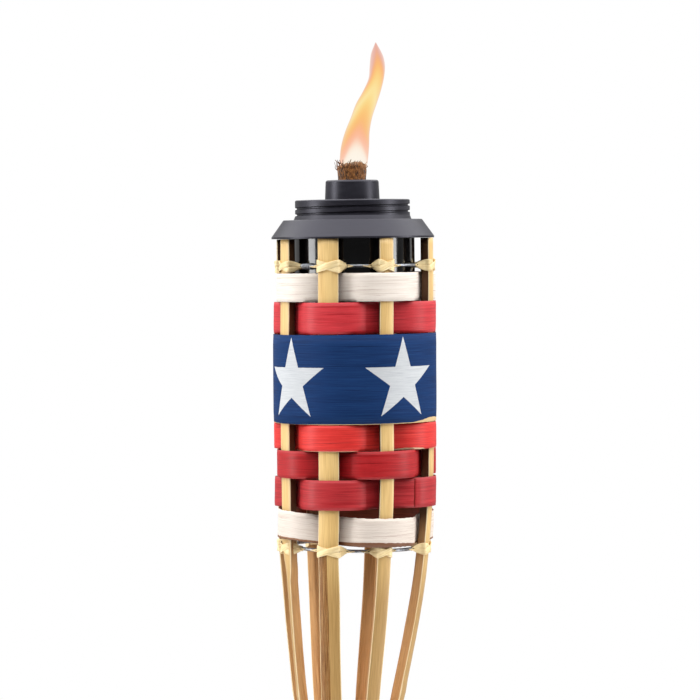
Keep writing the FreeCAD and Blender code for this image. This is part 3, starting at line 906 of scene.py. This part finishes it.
def make_pole():
    """The culm: ridges and sheath scars at its nodes, an open quill point, and an open top."""
    culm = Culm()
    bearings = np.linspace(0, 360, 48, endpoint=False)
    start, top = culm.heights[0], culm.high.z - 0.05 * MM
    lowest, highest = culm.nodes[0], culm.nodes[-1]
    heights = set(np.arange(start, top, 9 * MM)) | {top}
    for node in culm.nodes:
        heights |= {h for h in np.arange(node - 8 * MM, node + 6 * MM, 0.7 * MM) if h < top}
    heights = sorted(heights)

    def ring(radius, height):
        return [polar(b, radius(b), height(b) if callable(height) else height) for b in bearings]

    def bore(height):
        return culm.straight(height) - CULM_WALL

    def from_cut(share):
        return lambda b: culm.cut(b) + (start - culm.cut(b)) * share

    loops, bands = [], []

    def add(loop, band):
        loops.append(loop)
        bands.append(band)

    for height in np.linspace(lowest - 1.5 * MM, start, 12):
        add(ring(lambda b: bore(height), height), 1)
    for share in (0.6, 0.3, 0.1, 0.02):
        add(ring(lambda b: bore(start), from_cut(share)), 1)
    for step in (0.05, 0.35, 0.65, 0.95):
        add(ring(lambda b: bore(start) + CULM_WALL * step, from_cut(0.0)), 1)
    for share in (0.02, 0.1, 0.3, 0.6):
        add(ring(lambda b: culm.radius(b, start), from_cut(share)), 0)
    for height in heights:
        scar = any(-5.4 * MM < height - node < -3.6 * MM for node in culm.nodes)
        add(ring(lambda b: culm.radius(b, height), height), 2 if scar else 0)
    for step in (0.7, 0.4, 0.1):
        add(ring(lambda b: bore(top) + CULM_WALL * step, top), 1)
    for height in (top - 0.5 * MM, (top + highest) / 2, highest + 1.5 * MM):
        add(ring(lambda b: bore(top), height), 1)
    piece = loft("culm_pole", loops, bands=bands)
    return add_piece(piece, "torch", [CULM_SKIN, FLESH, SCAR], ["pole"])


make_pole()


# ---- wires --------------------------------------------------------------------------------------


def make_stop_wire():
    """Wire wound tightly round the culm under the split."""
    low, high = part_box("split_stop_wire")
    wire = 0.8 * MM
    radius = (high.x - low.x) / 2 - wire
    rise = high.z - low.z - 2 * wire
    turns = rise / (2 * wire * 1.01)
    count = int(turns * 40)
    shares = [i / count for i in range(count + 1)]
    path = [polar(120 + 360 * turns * x, radius, low.z + wire + rise * x) for x in shares]
    tail = polar(120 + 360 * turns + 16, radius + 0.5 * MM, high.z - wire * 0.9)
    piece = tube("stop_winding", path + [tail], wire * 0.98, sides=10)
    return add_piece(piece, "torch", [WIRE], ["split_stop_wire"])


def make_hoop(node, tilt=0.0):
    """A wire hoop, not quite level."""
    low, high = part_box(node)
    wire = (high.z - low.z) / 2
    hoop, height = (high.x - low.x) / 2 - wire, (low.z + high.z) / 2
    loops = []
    for bearing in np.arange(0, 360, 2.5):
        x, y = math.cos(math.radians(bearing)), math.sin(math.radians(bearing))
        uneven = 0.25 * MM * noise.noise(Vector((2 * x, 2 * y, height * 50)))
        loops.append([
            polar(bearing, hoop + wire * math.cos(a), height + uneven - wire * math.sin(a))
            for a in np.linspace(0, 2 * math.pi, 10, endpoint=False)
        ])
    piece = loft(f"wire_{node}", loops, ring=True)
    settle(piece, tilt)
    return add_piece(piece, "torch", [WIRE], [node])


def make_knot(hoop_node, start, end, tilt=0.0):
    """Where the ends of a hoop are twisted round each other."""
    low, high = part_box(hoop_node)
    wire = (high.z - low.z) / 2
    hoop, height = (high.x - low.x) / 2 - wire, (low.z + high.z) / 2
    strands = []
    for phase in (0, math.pi):
        path = []
        for i in range(61):
            share = i / 60
            twist = phase + 2 * math.pi * 3.2 * share
            coil = 1.25 * MM * math.sin(math.pi * min(1.0, 0.12 + share)) ** 0.4
            bearing = start + (end - start) * share
            path.append(polar(bearing, hoop + coil * math.cos(twist), height + coil * math.sin(twist)))
        strands.append(tube(f"{hoop_node}_strand", path, 0.75 * MM, sides=8))
    knot = join(f"{hoop_node}_knot", strands)
    settle(knot, tilt)
    return add_piece(knot, "torch", [WIRE])


make_stop_wire()
make_hoop("top_hoop")
make_hoop("bottom_hoop", tilt=HOOP_TILT)
make_knot("top_hoop", -51, -37)
make_knot("bottom_hoop", 124, 139, tilt=HOOP_TILT)


# ---- wick ---------------------------------------------------------------------------------------


def make_wick():
    """A braided rope with a ragged, burnt top."""
    low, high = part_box("wick")
    core = (high.x - low.x) / 2
    full = core + 0.3 * MM
    sides, rows = 64, 210
    bearings = np.linspace(0, 360, sides, endpoint=False)

    def braid(bearing, height):
        """How far the surface lies below the rope's full radius, in two sets of crossing strands."""
        one = math.sin(math.radians(bearing * 6) + height * 620)
        other = math.sin(math.radians(bearing * 6) - height * 620)
        return 0.75 * MM * (1 - max(abs(one), abs(other)) ** 0.7)

    def crest(bearing, share):
        """The height of the burnt top: lower at the left, with tufts."""
        spot = polar(bearing, core * share, 0)
        tufts = noise.noise(Vector((spot.x * 420, spot.y * 420, 3.3)))
        tufts += 0.6 * noise.noise(Vector((spot.x * 1100, spot.y * 1100, 8.1)))
        return high.z - 0.2 * MM + spot.x * 0.1 + 1.3 * MM * tufts - 1.6 * MM * share**6

    loops = []
    for i in range(rows):
        share = i / (rows - 1)
        loop = []
        for bearing in bearings:
            height = low.z + (crest(bearing, 1.0) - low.z) * share
            near_top = smoothstep(share, 0.93, 1.0)
            lumps = 0.35 * MM * wobble(bearing / 9, height * 700, seed=41) * (0.3 + near_top)
            loop.append(polar(bearing, full - braid(bearing, height) + lumps + 0.2 * MM * near_top, height))
        loops.append(loop)
    for inset in (0.9, 0.76, 0.6, 0.45, 0.3, 0.16, 0.05):
        loops.append([polar(b, core * inset, crest(b, inset)) for b in bearings])
    return loft("rope", loops)


def make_frays():
    """Loose glass fibres round the wick's top, mostly at its left."""
    low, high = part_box("wick")
    core = (high.x - low.x) / 2
    rng = random.Random(12)
    fibres = []
    for i in range(64):
        bearing = rng.gauss(-85, 55) if i % 3 else rng.uniform(0, 360)
        start = polar(bearing, core * rng.uniform(0.78, 0.97), high.z - rng.uniform(1, 6) * MM)
        lean = polar(bearing + rng.uniform(-50, 50), 1, 0)
        rise, reach = rng.uniform(1.0, 4.6) * MM, rng.uniform(0.6, 3.2) * MM
        curl = polar(bearing + 90, rng.uniform(-1.2, 1.2) * MM, 0)
        middle = start + lean * reach * 0.7 + Vector((0, 0, rise * 0.45)) + curl
        end = start + lean * reach + Vector((0, 0, rise))
        end.z = min(end.z, high.z + 1.6 * MM)
        thick = rng.uniform(0.12, 0.2) * MM
        fibres.append(tube(f"fray_{i}", smooth_path([start, middle, end], 5), thick, sides=5))
    return join("frays", fibres)


wick = join("braided_wick", [make_wick(), make_frays()])
add_piece(wick, "wick_rope", [WICK], ["wick"])


# ---- nodes kept from the frame ------------------------------------------------------------------


def dress(node, material):
    """Gives a node of the frame its material and smooth shading with crisp corners."""
    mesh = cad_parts[node].data
    mesh.materials.clear()
    mesh.materials.append(material)
    mesh.shade_smooth()
    mesh.set_sharp_from_angle(angle=math.radians(32))


for node, material in (
    ("neck_collar", PLASTIC),
    ("wick_lid", PLASTIC),
    ("fuel_can", ENAMEL),
    ("can_seal", RUBBER),
    ("lid_seal", RUBBER),
    ("wick_sleeve", SLEEVE),
):
    dress(node, material)


# ---- flame --------------------------------------------------------------------------------------

# Height above the skirt's rim, left edge and right edge, in millimetres.
FLAME = [
    (40.5, -8.2, 8.6), (45, -7.2, 9.4), (53, -6.3, 10.2), (61.6, -3.9, 10.6), (70, -0.4, 12.2),
    (77.9, 2.7, 14.9), (85, 6.8, 17.3), (92.4, 10.2, 19.2), (98.8, 10.9, 20.0), (104, 11.4, 19.4),
    (108, 12.2, 17.9), (113.4, 14.5, 14.9),
]
FLAME_FOOT, FLAME_TIP = FLAME[0][0] * MM, FLAME[-1][0] * MM
CURVE_REACH = 40 * MM


def flame_outline():
    """Points up the flame: middle, radius, height above the rim."""
    path = smooth_path([Vector(row) * MM for row in FLAME], 4)
    return [((left + right) / 2, (right - left) / 2, rise) for rise, left, right in path]


def flame_material(outline):
    """A thin glowing gas: clear near the wick, yellow in the body, orange along its edges and tip."""
    s = Shader("flame")
    s.tree.nodes.remove(s.principled)
    x, y, z = s.split()
    rise = s.math("SUBTRACT", z, RIM)
    share = s.share(rise, FLAME_FOOT, FLAME_TIP)

    def along(values):
        """One of the outline's columns, as a curve over the flame's height."""
        node = s.add("ShaderNodeFloatCurve", {"Value": share})
        curve = node.mapping.curves[0]
        for place, ((_, _, height), value) in enumerate(zip(outline, values)):
            spot = ((height - FLAME_FOOT) / (FLAME_TIP - FLAME_FOOT), value / CURVE_REACH)
            if place < 2:
                curve.points[place].location = spot
            else:
                curve.points.new(*spot)
        for point in curve.points:
            point.handle_type = "VECTOR"
        node.mapping.update()
        return s.math("MULTIPLY", node.outputs[0], CURVE_REACH)

    middle = along([m for m, _, _ in outline])
    radius = s.math("MAXIMUM", along([r for _, r, _ in outline]), 0.3 * MM)
    across = s.math("DIVIDE", s.math("SUBTRACT", x, middle), radius)
    deep = s.math("DIVIDE", y, radius)
    across_squared, deep_squared = s.math("MULTIPLY", across, across), s.math("MULTIPLY", deep, deep)
    edge = s.math("SQRT", s.math("ADD", across_squared, deep_squared))
    cone = s.math("SQRT", s.math("ADD", across_squared, s.math("MULTIPLY", deep_squared, 0.3)))

    climb = s.share(rise, 45 * MM, 58 * MM)
    lifted = s.math("ADD", climb, s.math("MULTIPLY", s.math("POWER", cone, 1.6), 1.35))
    stage = s.math("MULTIPLY", s.math("SUBTRACT", lifted, s.math("MULTIPLY", across, 0.25)), 1 / 5.3)
    glow = s.ramp(
        stage, (0.0, rgb(255, 244, 214)), (0.16, rgb(255, 238, 206)), (0.22, rgb(254, 186, 150)),
        (0.29, rgb(254, 178, 134)), (0.38, rgb(252, 188, 108)), (0.46, rgb(253, 200, 112)),
        (0.54, rgb(253, 220, 132)), (0.63, rgb(254, 234, 160)), (0.76, rgb(253, 212, 122)),
        (0.86, rgb(254, 182, 104)), (0.98, rgb(228, 158, 138)),
    )
    body = s.ramp(stage, (0.0, 0.25), (0.15, 0.35), (0.23, 1.0), (0.34, 1.5), (0.88, 1.5), (0.98, 0.9))
    shell = s.ramp(edge, (0.9, 0.0), (0.98, 1.0))
    density = s.math("ADD", s.math("DIVIDE", body, radius), s.math("MULTIPLY", shell, 110.0))
    colour = s.mix(s.math("MULTIPLY", shell, 0.75), glow, (0.85, 0.42, 0.2, 1))
    inputs = {"Color": (0, 0, 0, 1), "Density": density}
    absorption = s.add("ShaderNodeVolumeAbsorption", inputs)
    emission = s.add("ShaderNodeEmission", {"Color": colour, "Strength": density})
    total = s.add("ShaderNodeAddShader", {0: absorption.outputs[0], 1: emission.outputs[0]})
    s.tree.links.new(total.outputs[0], s.tree.nodes["Material Output"].inputs["Volume"])
    s.material.cycles.volume_step_rate = 0.1
    return s.material


def make_flame():
    """The flame rides the wick, but is light and not a part."""
    outline = flame_outline()
    bearings = np.linspace(0, 360, 32, endpoint=False)
    loops = [
        [Vector((middle, 0, RIM + rise)) + polar(b, radius, 0) for b in bearings]
        for middle, radius, rise in outline
    ]
    flame = show(loft("flame", loops))
    flame.data.materials.append(flame_material(outline))
    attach(flame, "wick_rope")


make_flame()


# ---- studio -------------------------------------------------------------------------------------


def make_floor():
    """A pale disc under the torch."""
    shape = bmesh.new()
    bmesh.ops.create_circle(shape, cap_ends=True, segments=96, radius=1.5)
    mesh = bpy.data.meshes.new("floor")
    shape.to_mesh(mesh)
    shape.free()
    floor = show(bpy.data.objects.new("floor", mesh))
    s = Shader("pale_floor", Roughness=0.8)
    mottle = s.noise((6, 6, 6), "Object")
    s.set(Base_Color=s.ramp(mottle, (0.3, rgb(222, 221, 219)), (0.7, rgb(230, 230, 229))))
    mesh.materials.append(s.material)


def soft_box(name, bearing, width, height, radiance):
    """An upright light beside the torch's head, facing it. The camera doesn't see it."""
    distance = 1.5
    data = bpy.data.lights.new(name, "AREA")
    data.shape = "RECTANGLE"
    data.size, data.size_y = width, height
    data.energy = radiance * math.pi * width * height
    box = show(bpy.data.objects.new(name, data))
    place = polar(bearing, distance, RIM)
    box.location = place
    box.rotation_mode = "QUATERNION"
    box.rotation_quaternion = Vector((-place.x, -place.y, 0)).to_track_quat("-Z", "Y")
    box.visible_camera = False


# Radiance of the world's parts.
CEILING, BACK, BACK_IN_REFLECTIONS, FRONT = 2.6, 0.8, 0.35, 0.08


def make_world():
    """A bright ceiling and back, and a dim front. The back is dimmer in reflections. The camera sees
    plain white."""
    world = bpy.data.worlds.new("studio")
    bpy.context.scene.world = world
    world.use_nodes = True
    w = Nodes(world.node_tree)

    def rising(value, low, high, radiance):
        inputs = {"Value": value, "From Min": low, "From Max": high, "To Max": radiance}
        return w.add("ShaderNodeMapRange", inputs, interpolation_type="SMOOTHSTEP").outputs[0]

    def mix(factor, first, second):
        return w.add("ShaderNodeMix", {0: factor, 2: first, 3: second}).outputs[0]

    _, y, z = w.split("Generated")
    ceiling = rising(z, 0.3, 0.62, CEILING)
    back, dim_back = (rising(y, 0.0, 0.7, radiance) for radiance in (BACK, BACK_IN_REFLECTIONS))
    ray = w.add("ShaderNodeLightPath").outputs
    light = w.math("ADD", ceiling, mix(ray["Is Glossy Ray"], back, dim_back))
    light = w.math("ADD", light, FRONT)
    background = w.tree.nodes["Background"].inputs
    w.feed(background["Strength"], mix(ray["Is Camera Ray"], light, 1.0))
    background["Color"].default_value = (1, 1, 1, 1)


def make_camera():
    """Level with the skirt of the canister, looking very slightly down, through a long lens.

    It is tipped a little, so that the torch's head leans to the left.
    """
    data = bpy.data.cameras.new("camera")
    data.sensor_width = 36
    data.lens = 174.9
    data.clip_start, data.clip_end = 0.1, 50
    camera = show(bpy.data.objects.new("camera", data))
    distance, elevation = 1.98, math.radians(1.7)
    aim = Vector((-2.45 * MM, 0, RIM - 65 * MM))
    back = Vector((0, -math.cos(elevation), math.sin(elevation)))
    camera.location = aim + distance * back
    camera.rotation_mode = "QUATERNION"
    roll = Quaternion((0, 0, 1), math.radians(-0.72))
    camera.rotation_quaternion = (-back).to_track_quat("-Z", "Y") @ roll
    bpy.context.scene.camera = camera


make_floor()
soft_box("left_box", bearing=-83, width=0.46, height=1.7, radiance=6.5)
soft_box("right_box", bearing=81, width=0.34, height=1.7, radiance=7.5)
make_world()
make_camera()
bpy.context.scene.view_settings.view_transform = "Standard"
